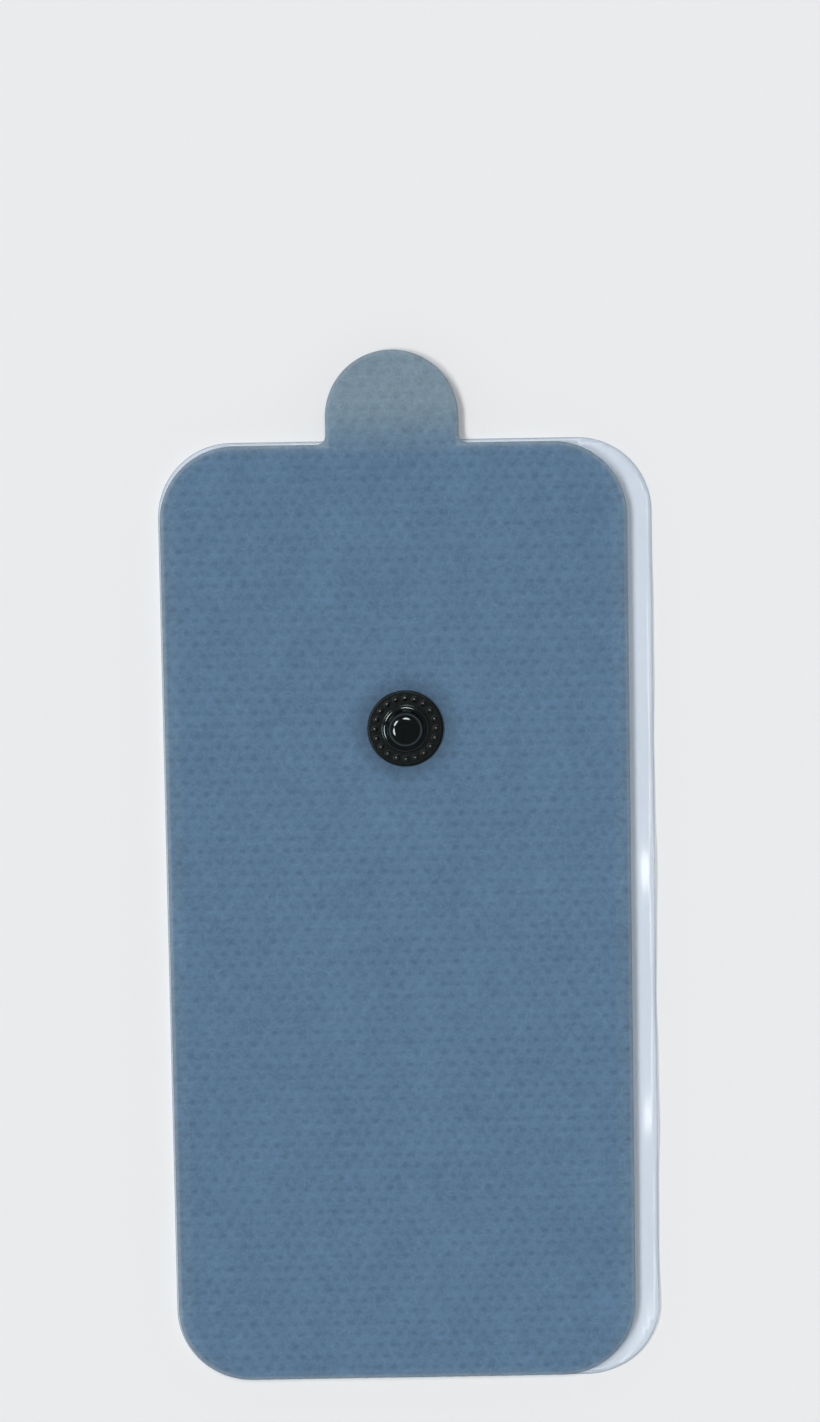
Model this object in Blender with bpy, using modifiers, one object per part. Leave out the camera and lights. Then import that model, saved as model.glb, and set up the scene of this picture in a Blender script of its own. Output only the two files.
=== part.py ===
"""A self-adhesive electrode pad for nerve stimulation, lying flat on its release liner.

Lengths are in metres. +Z is up, +Y runs toward the pull tab, and the origin is the
centre of the pad's body on the underside of the liner.
"""

import math

import bmesh
import bpy
from mathutils import Vector

# The pad's outline
BODY_WIDTH = 0.0500
BODY_LENGTH = 0.1020
BODY_CORNER_RADIUS = 0.0080
TAB_WIDTH = 0.0142
TAB_LENGTH = 0.0100
TAB_FILLET_RADIUS = 0.0010

# The layers, from the liner up
LINER_THICKNESS = 0.00010
GEL_THICKNESS = 0.00090
FILM_THICKNESS = 0.00010
CLOTH_THICKNESS = 0.00030
GLUE_LINE = 0.00005

# How far each layer stands out from the body's outline, or in from it
LINER_MARGIN_RIGHT = 0.0027
LINER_MARGIN_LEFT = 0.0003
LINER_MARGIN_END = 0.0004
LINER_CORNER_RADIUS = 0.0080
GEL_INSET = 0.0002
FILM_INSET_SIDE = 0.0016
FILM_INSET_END = 0.0008
FILM_CORNER_RADIUS = 0.0064

# The snap stud, turned and pressed from thin sheet
SNAP_OFFSET = 0.0009
SNAP_FROM_TOP_EDGE = 0.0305
FLANGE_RADIUS = 0.00410
FLANGE_THICKNESS = 0.00035
COLLAR_RADIUS = 0.00250
COLLAR_HEIGHT = 0.00050
COLLAR_CROWN_WIDTH = 0.00032
COLLAR_CROWN_HEIGHT = 0.00022
WAIST_RADIUS = 0.00165
WAIST_HEIGHT = 0.00035
HEAD_RADIUS = 0.00195
HEAD_UNDERSIDE_HEIGHT = 0.00040
HEAD_DOME_HEIGHT = 0.00080
HEAD_FLAT_RADIUS = 0.00095
STUD_WALL = 0.00035
BOSS_COUNT = 20
BOSS_RADIUS = 0.00024
BOSS_SUNK = 0.00010

# The eyelet that holds the stud from below, and the disc that covers it
POST_CLEARANCE = 0.00020
POST_WALL = 0.00025
POST_FLARE = 0.00008
HOLE_CLEARANCE = 0.00020
EYELET_RADIUS = 0.00360
EYELET_THICKNESS = 0.00025
COVER_THICKNESS = 0.00010
COVER_BRIM = 0.00100
COVER_DRAFT = 0.00040
COVER_CLEARANCE = 0.00010

# How finely round forms are drawn
CORNER_SEGMENTS = 14
TURN_STEPS = 64
ROUND_SEGMENTS = 6
SMOOTH_ANGLE = math.radians(35)
WELD_DISTANCE = 0.000001

# Heights that follow from the layers
LINER_BOTTOM = 0.0
GEL_BOTTOM = LINER_BOTTOM + LINER_THICKNESS + GLUE_LINE
GEL_TOP = GEL_BOTTOM + GEL_THICKNESS
FILM_BOTTOM = GEL_TOP + GLUE_LINE
CLOTH_BOTTOM = FILM_BOTTOM + FILM_THICKNESS + GLUE_LINE
STUD_BOTTOM = CLOTH_BOTTOM + CLOTH_THICKNESS + GLUE_LINE

# The snap's place and the sizes that its pieces share
SNAP_CENTRE = (SNAP_OFFSET, BODY_LENGTH / 2 - SNAP_FROM_TOP_EDGE)
BORE_RADIUS = WAIST_RADIUS - STUD_WALL
POST_RADIUS = BORE_RADIUS - POST_CLEARANCE
HOLE_RADIUS = POST_RADIUS + HOLE_CLEARANCE
COLLAR_TOP = FLANGE_THICKNESS + COLLAR_HEIGHT
WAIST_TOP = COLLAR_TOP + WAIST_HEIGHT
HEAD_WIDEST = WAIST_TOP + HEAD_UNDERSIDE_HEIGHT
HEAD_TOP = HEAD_WIDEST + HEAD_DOME_HEIGHT
BORE_TOP = HEAD_TOP - STUD_WALL
DISH_DEPTH = GLUE_LINE + EYELET_THICKNESS
DISH_RADIUS = EYELET_RADIUS + COVER_CLEARANCE
COVER_RADIUS = DISH_RADIUS + COVER_DRAFT + COVER_BRIM


def clear_scene():
    """Removes every object, so that the script can be run again."""
    for item in list(bpy.data.objects):
        bpy.data.objects.remove(item, do_unlink=True)


def new_collection(name):
    """Makes a collection under the scene's own."""
    collection = bpy.data.collections.new(name)
    bpy.context.scene.collection.children.link(collection)
    return collection


def linear(channel):
    """Turns one 0 to 255 display value into a linear one."""
    value = channel / 255
    return value / 12.92 if value <= 0.04045 else ((value + 0.055) / 1.055) ** 2.4


def new_material(name, colour, roughness, metallic=0.0, alpha=1.0):
    """A plain surface of one display colour."""
    material = bpy.data.materials.new(name)
    material.use_nodes = True
    surface = material.node_tree.nodes["Principled BSDF"]
    surface.inputs["Base Color"].default_value = (*[linear(c) for c in colour], 1.0)
    surface.inputs["Roughness"].default_value = roughness
    surface.inputs["Metallic"].default_value = metallic
    surface.inputs["Alpha"].default_value = alpha
    return material


def arc(centre, radii, start, end, segments):
    """Points along a stretch of an ellipse, its angles in degrees."""
    points = []
    for step in range(segments + 1):
        angle = math.radians(start + (end - start) * step / segments)
        points.append((centre[0] + radii[0] * math.cos(angle), centre[1] + radii[1] * math.sin(angle)))
    return points


def without_repeats(points):
    """Drops each point that lies on the one before it."""
    kept = [points[0]]
    for point in points[1:]:
        if math.dist(point, kept[-1]) > WELD_DISTANCE:
            kept.append(point)
    return kept


def rounded_outline(corners):
    """A closed outline through (x, y, radius) corners, each one rounded by an arc.

    The corners run anticlockwise. An arc touches both of its sides, so it works for a
    corner that turns either way.
    """
    points = []
    count = len(corners)
    for index, (x, y, radius) in enumerate(corners):
        corner = Vector((x, y))
        back = (Vector(corners[index - 1][:2]) - corner).normalized()
        ahead = (Vector(corners[(index + 1) % count][:2]) - corner).normalized()
        half = back.angle(ahead) / 2
        centre = corner + (back + ahead).normalized() * radius / math.sin(half)
        first = corner + back * radius / math.tan(half) - centre
        turn = math.pi - 2 * half
        if back.x * ahead.y - back.y * ahead.x > 0:
            turn = -turn
        for step in range(CORNER_SEGMENTS + 1):
            angle = turn * step / CORNER_SEGMENTS
            cosine, sine = math.cos(angle), math.sin(angle)
            turned = (cosine * first.x - sine * first.y, sine * first.x + cosine * first.y)
            points.append((centre.x + turned[0], centre.y + turned[1]))
    outline = without_repeats(points)
    if math.dist(outline[0], outline[-1]) <= WELD_DISTANCE:
        outline.pop()
    return outline


def rounded_rectangle(left, right, bottom, top, radius):
    """The outline of a rectangle with four equal round corners."""
    return rounded_outline(
        [
            (left, bottom, radius),
            (right, bottom, radius),
            (right, top, radius),
            (left, top, radius),
        ]
    )


def pad_outline():
    """The backing's outline: the body with its round-ended tab in the middle of one end."""
    side = BODY_WIDTH / 2
    end = BODY_LENGTH / 2
    tab_side = TAB_WIDTH / 2
    tab_end = end + TAB_LENGTH
    return rounded_outline(
        [
            (-side, -end, BODY_CORNER_RADIUS),
            (side, -end, BODY_CORNER_RADIUS),
            (side, end, BODY_CORNER_RADIUS),
            (tab_side, end, TAB_FILLET_RADIUS),
            (tab_side, tab_end, tab_side),
            (-tab_side, tab_end, tab_side),
            (-tab_side, end, TAB_FILLET_RADIUS),
            (-side, end, BODY_CORNER_RADIUS),
        ]
    )


def inset_body(side, end, radius):
    """The body's outline without the tab, drawn in by side and end."""
    half_width = BODY_WIDTH / 2 - side
    half_length = BODY_LENGTH / 2 - end
    return rounded_rectangle(-half_width, half_width, -half_length, half_length, radius)


def snap_hole():
    """The round hole that the eyelet's post passes through."""
    circle = arc(SNAP_CENTRE, (HOLE_RADIUS, HOLE_RADIUS), 0, 360, TURN_STEPS)
    return circle[:-1]


def new_sheet(name, outlines, bottom, thickness, material, collection):
    """A flat layer: the first outline is its edge, and any others are holes in it."""
    curve = bpy.data.curves.new(name, "CURVE")
    curve.dimensions = "2D"
    curve.fill_mode = "BOTH"
    curve.extrude = thickness / 2
    for outline in outlines:
        spline = curve.splines.new("POLY")
        spline.points.add(len(outline) - 1)
        for point, (x, y) in zip(spline.points, outline):
            point.co = (x, y, 0, 1)
        spline.use_cyclic_u = True
    curve.materials.append(material)
    sheet = bpy.data.objects.new(name, curve)
    sheet.location = (0, 0, bottom + thickness / 2)
    collection.objects.link(sheet)
    return sheet


def evaluated_mesh(item):
    """The object's mesh as its curve or its modifiers leave it, with the seams welded."""
    bpy.context.view_layer.update()
    graph = bpy.context.evaluated_depsgraph_get()
    mesh = bpy.data.meshes.new_from_object(item.evaluated_get(graph))
    shell = bmesh.new()
    shell.from_mesh(mesh)
    bmesh.ops.remove_doubles(shell, verts=shell.verts, dist=WELD_DISTANCE)
    shell.to_mesh(mesh)
    shell.free()
    return mesh


def as_mesh(item, collection):
    """Replaces a curve object by a mesh object of the same name, form and place."""
    mesh = evaluated_mesh(item)
    name = item.name
    place = item.matrix_world.copy()
    bpy.data.objects.remove(item, do_unlink=True)
    solid = bpy.data.objects.new(name, mesh)
    solid.matrix_world = place
    collection.objects.link(solid)
    return solid


def new_turned(name, profile, closed, place, collection, material=None):
    """A turned piece: the profile's (radius, height) points swept around the vertical axis.

    An open profile starts and ends on the axis, and a closed one makes a ring.
    """
    count = len(profile)
    edges = [(index, index + 1) for index in range(count - 1)]
    if closed:
        edges.append((count - 1, 0))
    mesh = bpy.data.meshes.new(name)
    mesh.from_pydata([(radius, 0, height) for radius, height in profile], edges, [])
    if material:
        mesh.materials.append(material)
    item = bpy.data.objects.new(name, mesh)
    item.location = place
    collection.objects.link(item)
    screw = item.modifiers.new("turn", "SCREW")
    screw.axis = "Z"
    screw.steps = TURN_STEPS
    screw.render_steps = TURN_STEPS
    screw.use_merge_vertices = True
    screw.merge_threshold = WELD_DISTANCE
    return item


def apply_and_smooth(item):
    """Makes the modifiers' result the mesh itself, smooth but for its sharp edges."""
    mesh = evaluated_mesh(item)
    item.modifiers.clear()
    item.data = mesh
    mesh.shade_smooth()
    mesh.set_sharp_from_angle(angle=SMOOTH_ANGLE)


def hide_tool(item):
    """Marks a shape that only cuts or joins others."""
    item.hide_render = True
    item.display_type = "WIRE"


def add_boolean(item, tool, operation):
    """Cuts the tool from the item, or joins it on."""
    boolean = item.modifiers.new(operation.lower(), "BOOLEAN")
    boolean.operation = operation
    boolean.solver = "EXACT"
    boolean.object = tool


def make_release_liner(collection):
    """The clear film under the gel, wider than the pad along one side for the finger."""
    outline = rounded_rectangle(
        -BODY_WIDTH / 2 - LINER_MARGIN_LEFT,
        BODY_WIDTH / 2 + LINER_MARGIN_RIGHT,
        -BODY_LENGTH / 2 - LINER_MARGIN_END,
        BODY_LENGTH / 2 + LINER_MARGIN_END,
        LINER_CORNER_RADIUS,
    )
    material = new_material("clear_liner_film", (214, 222, 230), 0.15, alpha=0.35)
    return new_sheet("release_liner", [outline], LINER_BOTTOM, LINER_THICKNESS, material, collection)


def make_hydrogel(collection, tools):
    """The sticky conductive gel, with a shallow pocket where the covered eyelet sinks in."""
    outline = inset_body(GEL_INSET, GEL_INSET, BODY_CORNER_RADIUS - GEL_INSET)
    material = new_material("clear_gel", (205, 214, 218), 0.2, alpha=0.6)
    sheet = new_sheet("hydrogel", [outline], GEL_BOTTOM, GEL_THICKNESS, material, collection)
    gel = as_mesh(sheet, collection)
    brim_floor = -COVER_THICKNESS - GLUE_LINE
    dish_floor = brim_floor - DISH_DEPTH
    brim_pocket = COVER_RADIUS + COVER_CLEARANCE
    dish_pocket = COVER_RADIUS - COVER_BRIM + COVER_THICKNESS + COVER_CLEARANCE
    profile = [
        (0, GEL_THICKNESS),
        (brim_pocket, GEL_THICKNESS),
        (brim_pocket, brim_floor),
        (dish_pocket, brim_floor),
        (dish_pocket, dish_floor),
        (0, dish_floor),
    ]
    pocket = new_turned("gel_pocket", profile, False, (*SNAP_CENTRE, GEL_TOP), tools)
    hide_tool(pocket)
    add_boolean(gel, pocket, "DIFFERENCE")
    return gel


def make_eyelet_cover(collection):
    """The thin insulating disc that drapes under the eyelet and is stuck down around it."""
    profile = [
        (0, -DISH_DEPTH),
        (DISH_RADIUS, -DISH_DEPTH),
        (DISH_RADIUS + COVER_DRAFT, 0),
        (COVER_RADIUS, 0),
        (COVER_RADIUS, -COVER_THICKNESS),
        (DISH_RADIUS + COVER_DRAFT + COVER_THICKNESS, -COVER_THICKNESS),
        (DISH_RADIUS + COVER_THICKNESS, -DISH_DEPTH - COVER_THICKNESS),
        (0, -DISH_DEPTH - COVER_THICKNESS),
    ]
    material = new_material("white_cover_film", (226, 228, 228), 0.45)
    cover = new_turned("eyelet_cover", profile, False, (*SNAP_CENTRE, GEL_TOP), collection, material)
    apply_and_smooth(cover)
    return cover


def make_carbon_film(collection):
    """The black conductive film that spreads the current over the gel."""
    outline = inset_body(FILM_INSET_SIDE, FILM_INSET_END, FILM_CORNER_RADIUS)
    material = new_material("carbon_black_film", (34, 36, 38), 0.5)
    return new_sheet("carbon_film", [outline, snap_hole()], FILM_BOTTOM, FILM_THICKNESS, material, collection)


def make_backing_cloth(collection):
    """The point-bonded fabric on top, with the pull tab."""
    material = new_material("blue_nonwoven", (102, 130, 158), 0.85)
    outlines = [pad_outline(), snap_hole()]
    return new_sheet("backing_cloth", outlines, CLOTH_BOTTOM, CLOTH_THICKNESS, material, collection)


def stud_profile():
    """The stud's half section: the domed head, the waist, the collar, the flange, the bore."""
    dome = arc(
        (HEAD_FLAT_RADIUS, HEAD_WIDEST),
        (HEAD_RADIUS - HEAD_FLAT_RADIUS, HEAD_DOME_HEIGHT),
        90,
        0,
        ROUND_SEGMENTS,
    )
    underside = arc(
        (WAIST_RADIUS, HEAD_WIDEST),
        (HEAD_RADIUS - WAIST_RADIUS, HEAD_UNDERSIDE_HEIGHT),
        0,
        -90,
        ROUND_SEGMENTS,
    )
    collar = arc(
        (COLLAR_RADIUS - COLLAR_CROWN_WIDTH, COLLAR_TOP - COLLAR_CROWN_HEIGHT),
        (COLLAR_CROWN_WIDTH, COLLAR_CROWN_HEIGHT),
        90,
        0,
        ROUND_SEGMENTS,
    )
    rim_radius = FLANGE_THICKNESS / 2
    rim = arc(
        (FLANGE_RADIUS - rim_radius, rim_radius),
        (rim_radius, rim_radius),
        90,
        -90,
        ROUND_SEGMENTS,
    )
    profile = [(0, HEAD_TOP), *dome, *underside, (WAIST_RADIUS, COLLAR_TOP), *collar]
    profile += [(COLLAR_RADIUS, FLANGE_THICKNESS), *rim]
    profile += [(BORE_RADIUS, 0), (BORE_RADIUS, BORE_TOP), (0, BORE_TOP)]
    return without_repeats(profile)


def make_bosses(tools):
    """The ring of small domes on the flange, midway between its collar and its rim."""
    ring_radius = (COLLAR_RADIUS + FLANGE_RADIUS) / 2
    shell = bmesh.new()
    for index in range(BOSS_COUNT):
        angle = math.tau * index / BOSS_COUNT
        place = Vector(
            (
                ring_radius * math.cos(angle),
                ring_radius * math.sin(angle),
                FLANGE_THICKNESS - BOSS_SUNK,
            )
        )
        boss = bmesh.ops.create_icosphere(shell, subdivisions=2, radius=BOSS_RADIUS)
        bmesh.ops.translate(shell, verts=boss["verts"], vec=place)
    mesh = bpy.data.meshes.new("stud_bosses")
    shell.to_mesh(mesh)
    shell.free()
    bosses = bpy.data.objects.new("stud_bosses", mesh)
    bosses.location = (*SNAP_CENTRE, STUD_BOTTOM)
    tools.objects.link(bosses)
    hide_tool(bosses)
    return bosses


def make_snap_stud(collection, tools):
    """The stud that the lead's socket snaps onto."""
    material = new_material("black_nickel_stud", (40, 46, 46), 0.2, metallic=1.0)
    place = (*SNAP_CENTRE, STUD_BOTTOM)
    stud = new_turned("snap_stud", stud_profile(), False, place, collection, material)
    add_boolean(stud, make_bosses(tools), "UNION")
    apply_and_smooth(stud)
    return stud


def make_snap_eyelet(collection):
    """The hollow rivet from below: its disc under the film and its post inside the stud."""
    rim_radius = EYELET_THICKNESS / 2
    rim = arc(
        (EYELET_RADIUS - rim_radius, -rim_radius),
        (rim_radius, rim_radius),
        90,
        -90,
        ROUND_SEGMENTS,
    )
    disc_top = FILM_BOTTOM - GLUE_LINE
    post_top = STUD_BOTTOM + BORE_TOP - POST_CLEARANCE - disc_top
    profile = [
        (POST_RADIUS + POST_FLARE, post_top),
        (POST_RADIUS, post_top - 2 * POST_FLARE),
        (POST_RADIUS, 0),
        *rim,
        (POST_RADIUS - POST_WALL, -EYELET_THICKNESS),
        (POST_RADIUS - POST_WALL, post_top),
    ]
    material = new_material("black_nickel_eyelet", (58, 63, 63), 0.3, metallic=1.0)
    place = (*SNAP_CENTRE, disc_top)
    eyelet = new_turned("snap_eyelet", profile, True, place, collection, material)
    apply_and_smooth(eyelet)
    return eyelet


def main():
    """Builds the pad from the liner up and hangs its pieces on one empty."""
    clear_scene()
    parts = new_collection("tens_electrode_pad")
    tools = new_collection("cutters")
    root = bpy.data.objects.new("pad_root", None)
    parts.objects.link(root)
    pieces = [
        make_release_liner(parts),
        make_hydrogel(parts, tools),
        make_eyelet_cover(parts),
        make_carbon_film(parts),
        make_backing_cloth(parts),
        make_snap_eyelet(parts),
        make_snap_stud(parts, tools),
    ]
    for piece in pieces:
        piece.parent = root


main()
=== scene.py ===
"""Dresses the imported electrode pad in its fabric, film, gel and plated snap.

Lengths are in metres, in the pad's own frame: +Z is up, +Y runs toward the pull tab, and
the origin is the middle of the body on the underside of the liner.
"""

import logging
import math
from collections.abc import Callable, Mapping, Sequence
from dataclasses import dataclass, replace
from enum import Enum
from typing import Any

import bpy
import numpy as np
import numpy.typing as npt
from bpy.types import Material, Mesh, NodeSocket, Object, World
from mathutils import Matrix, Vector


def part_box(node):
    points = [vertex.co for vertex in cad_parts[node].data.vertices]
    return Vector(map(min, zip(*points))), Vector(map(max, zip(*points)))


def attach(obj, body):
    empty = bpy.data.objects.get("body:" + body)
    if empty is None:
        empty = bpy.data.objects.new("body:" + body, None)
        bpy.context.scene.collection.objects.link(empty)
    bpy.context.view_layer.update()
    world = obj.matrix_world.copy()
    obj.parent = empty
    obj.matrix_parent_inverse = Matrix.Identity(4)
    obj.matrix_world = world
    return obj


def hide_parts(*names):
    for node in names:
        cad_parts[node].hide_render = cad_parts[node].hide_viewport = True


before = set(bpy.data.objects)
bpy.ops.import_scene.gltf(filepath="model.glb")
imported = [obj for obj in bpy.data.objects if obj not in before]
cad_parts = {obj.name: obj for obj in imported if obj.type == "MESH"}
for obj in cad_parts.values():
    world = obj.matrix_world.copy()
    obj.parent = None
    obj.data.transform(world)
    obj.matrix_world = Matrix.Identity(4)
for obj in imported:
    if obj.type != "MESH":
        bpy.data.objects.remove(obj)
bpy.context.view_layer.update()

LOG = logging.getLogger("electrode_pad")
BODY = "root"

MM = 0.001
# A length too small to see: the step for slopes, and how close two equal heights lie.
HAIR = 0.001 * MM

Array = npt.NDArray[np.float64]
Numbers = npt.NDArray[np.int64]
HeightMap = Callable[[Array, Array], Array]
Pair = tuple[float, float]
Triple = tuple[float, float, float]
Colour = tuple[float, float, float]


class Blend(Enum):
    """How one colour is laid over another."""

    MIX = "MIX"
    MULTIPLY = "MULTIPLY"


def display(red: int, green: int, blue: int) -> Colour:
    """Turns a display colour, 0 to 255, into the linear one, 0 to 1, that a shader takes."""
    shares = (channel / 255 for channel in (red, green, blue))
    return tuple(s / 12.92 if s <= 0.04045 else ((s + 0.055) / 1.055) ** 2.4 for s in shares)


def ease(start: float, end: float, value: Array) -> Array:
    """Goes smoothly from 0 at start to 1 at end, which may lie below it: 3t squared less 2t cubed."""
    t = np.clip((value - start) / (end - start), 0.0, 1.0)
    return t * t * (3.0 - 2.0 * t)


def operator(operation: str, reflected: bool = False) -> Callable[..., "Value"]:
    """Makes the method by which a value takes part in one kind of sum.

    Args:
        operation: The Math node's operation.
        reflected: Whether the other operand comes first, as in 1 - mask.

    Returns:
        The method.
    """

    def method(value: "Value", *others: "Value | float") -> "Value":
        """Adds the Math node."""
        operands = (*others, value) if reflected else (value, *others)
        return value.nodes.add("ShaderNodeMath", {"operation": operation}, dict(enumerate(operands)))

    return method


class Value:
    """One output socket of a material or world; Python's operators on it add Math nodes.

    a.least(b) and a.most(b) are the smaller and the larger of two, and y.angle_from(x) is
    the angle at which the point x, y lies.
    """

    def __init__(self, nodes: "Nodes", socket: NodeSocket) -> None:
        """Keeps the socket and the nodes that it is one of."""
        self.nodes = nodes
        self.socket = socket

    __add__ = __radd__ = operator("ADD")
    __mul__ = __rmul__ = operator("MULTIPLY")
    __sub__ = operator("SUBTRACT")
    __rsub__ = operator("SUBTRACT", reflected=True)
    __truediv__ = operator("DIVIDE")
    __rtruediv__ = operator("DIVIDE", reflected=True)
    __pow__ = operator("POWER")
    __mod__ = operator("FLOORED_MODULO")
    __abs__ = operator("ABSOLUTE")
    __round__ = operator("ROUND")
    least = operator("MINIMUM")
    most = operator("MAXIMUM")
    angle_from = operator("ARCTAN2")

    def ease(self, start: float, end: float) -> "Value":
        """Goes smoothly from 0 at start to 1 at end.

        Args:
            start: Where it is 0.
            end: Where it is 1; it may lie below start.

        Returns:
            The eased value, 0 to 1.
        """
        if start > end:
            return 1.0 - self.ease(end, start)
        settings = {"interpolation_type": "SMOOTHSTEP"}
        inputs = {"Value": self, "From Min": start, "From Max": end, "To Min": 0.0, "To Max": 1.0}
        return self.nodes.add("ShaderNodeMapRange", settings, inputs)


Measure = Array | Value


def least(first: Measure, second: Measure | float) -> Measure:
    """The smaller of two, as shader nodes or as whole arrays."""
    return first.least(second) if isinstance(first, Value) else np.minimum(first, second)


def most(first: Measure, second: Measure | float) -> Measure:
    """The larger of two, as shader nodes or as whole arrays."""
    return first.most(second) if isinstance(first, Value) else np.maximum(first, second)


def between(start: Measure | float, end: Measure | float, share: Measure | float) -> Measure:
    """What lies a share of the way from start to end."""
    return start + (end - start) * share


def apart(x: Measure, y: Measure) -> Measure:
    """How far apart two points lie: the root of x squared plus y squared."""
    return (x**2.0 + y**2.0) ** 0.5


class Nodes:
    """The nodes of one material or world, with a method for each way that they are used."""

    def __init__(self, owner: Material | World) -> None:
        """Empties the owner's node tree.

        Args:
            owner: The material or the world that the nodes are for.
        """
        self.owner = owner
        owner.use_nodes = True
        self.tree = owner.node_tree
        self.tree.nodes.clear()

    def add(
        self,
        kind: str,
        settings: Mapping[str, Any] | None = None,
        inputs: Mapping[int | str, Any] | None = None,
        output: int | str = 0,
    ) -> Value:
        """Adds any node: its settings first, then what goes into its sockets.

        Args:
            kind: The node's type.
            settings: Its properties.
            inputs: A value or a link for each socket, by index or name.
            output: The output to hand back, by index or name.

        Returns:
            That output.
        """
        node = self.tree.nodes.new(kind)
        for key, setting in (settings or {}).items():
            setattr(node, key, setting)
        for key, given in (inputs or {}).items():
            socket = node.inputs[key]
            if isinstance(given, Value):
                self.tree.links.new(given.socket, socket)
            elif socket.type == "RGBA" and len(given) == 3:
                socket.default_value = (*given, 1.0)
            else:
                socket.default_value = given
        return Value(self, node.outputs[output])

    def place(self) -> tuple[Value, Value, Value]:
        """The point on the surface, as its x, y and z in the pad's frame."""
        point = self.add("ShaderNodeTexCoord", output="Object")
        return tuple(self.add("ShaderNodeSeparateXYZ", None, {0: point}, axis) for axis in "XYZ")

    def vector(self, x: Value | float, y: Value | float, z: Value | float) -> Value:
        """Puts three values together."""
        return self.add("ShaderNodeCombineXYZ", None, {0: x, 1: y, 2: z})

    def noise(
        self,
        place: Sequence[Value | float],
        size: Sequence[float],
        detail: float = 2.0,
        roughness: float = 0.5,
    ) -> Value:
        """Adds smooth noise.

        Args:
            place: Where it is read, as three values or numbers.
            size: How far its spots reach along each of the three.
            detail: How many finer layers it has.
            roughness: How strong the finer layers are.

        Returns:
            The noise, mostly 0.3 to 0.7.
        """
        vector = self.vector(*(part / reach for part, reach in zip(place, size)))
        inputs = {"Vector": vector, "Scale": 1.0, "Detail": detail, "Roughness": roughness}
        return self.add("ShaderNodeTexNoise", None, inputs)

    def mix(
        self,
        share: Value | float,
        under: Value | Colour,
        over: Value | Colour,
        blend: Blend = Blend.MIX,
    ) -> Value:
        """Lays a share of one colour over another."""
        settings = {"data_type": "RGBA", "blend_type": blend.value}
        return self.add("ShaderNodeMix", settings, {0: share, 6: under, 7: over}, 2)

    def shaded(self, colour: Value | Colour, share: Value) -> Value:
        """The colour with each of its channels times the share."""
        grey = self.add("ShaderNodeCombineColor", None, {0: share, 1: share, 2: share})
        return self.mix(1.0, colour, grey, Blend.MULTIPLY)

    def bump(self, height: Value, distance: float, strength: float) -> Value:
        """Bends the normal by a relief too fine for the mesh, as deep as distance where it is 1."""
        inputs = {"Height": height, "Distance": distance, "Strength": strength}
        return self.add("ShaderNodeBump", None, inputs)

    def principled(self, **inputs: Any) -> Value:
        """The main shader, its sockets named with underscores for spaces."""
        named = {key.replace("_", " "): given for key, given in inputs.items()}
        return self.add("ShaderNodeBsdfPrincipled", None, named)

    def finish(self, surface: Value) -> Material | World:
        """Connects the surface to an output.

        Args:
            surface: The last shader.

        Returns:
            The owner.
        """
        kind = "World" if isinstance(self.owner, World) else "Material"
        output = self.tree.nodes.new(f"ShaderNodeOutput{kind}")
        self.tree.links.new(surface.socket, output.inputs["Surface"])
        return self.owner


def material_nodes(name: str) -> Nodes:
    """Starts a new material and hands its nodes back."""
    return Nodes(bpy.data.materials.new(name))


@dataclass(frozen=True)
class RoundedRectangle:
    """A rectangle with round corners, in plan."""

    left: float
    right: float
    bottom: float
    top: float
    radius: float

    @classmethod
    def over(cls, node: str, radius: float) -> "RoundedRectangle":
        """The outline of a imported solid's box, with round corners."""
        low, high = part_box(node)
        return cls(low.x, high.x, low.y, high.y, radius)

    @property
    def middle(self) -> Pair:
        """The middle point."""
        return (self.left + self.right) / 2, (self.bottom + self.top) / 2

    @property
    def core(self) -> Pair:
        """Half the width and half the length, each less the corner radius."""
        return (self.right - self.left) / 2 - self.radius, (self.top - self.bottom) / 2 - self.radius

    def distance(self, x: Measure, y: Measure) -> Measure:
        """The distance to the outline, negative inside.

        It is the distance to the core rectangle, less the corner radius.

        Args:
            x: Positions across, as nodes or as an array.
            y: Positions along, likewise.

        Returns:
            One distance for each position.
        """
        (middle_x, middle_y), (core_x, core_y) = self.middle, self.core
        across = abs(x - middle_x) - core_x
        along = abs(y - middle_y) - core_y
        outside = apart(most(across, 0.0), most(along, 0.0))
        return outside + least(most(across, along), 0.0) - self.radius

    def drawn_in(self, inset: float) -> "RoundedRectangle":
        """Draws the outline in on every side, round about the same corner centres."""
        left, bottom = self.left + inset, self.bottom + inset
        return RoundedRectangle(left, self.right - inset, bottom, self.top - inset, self.radius - inset)


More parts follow.
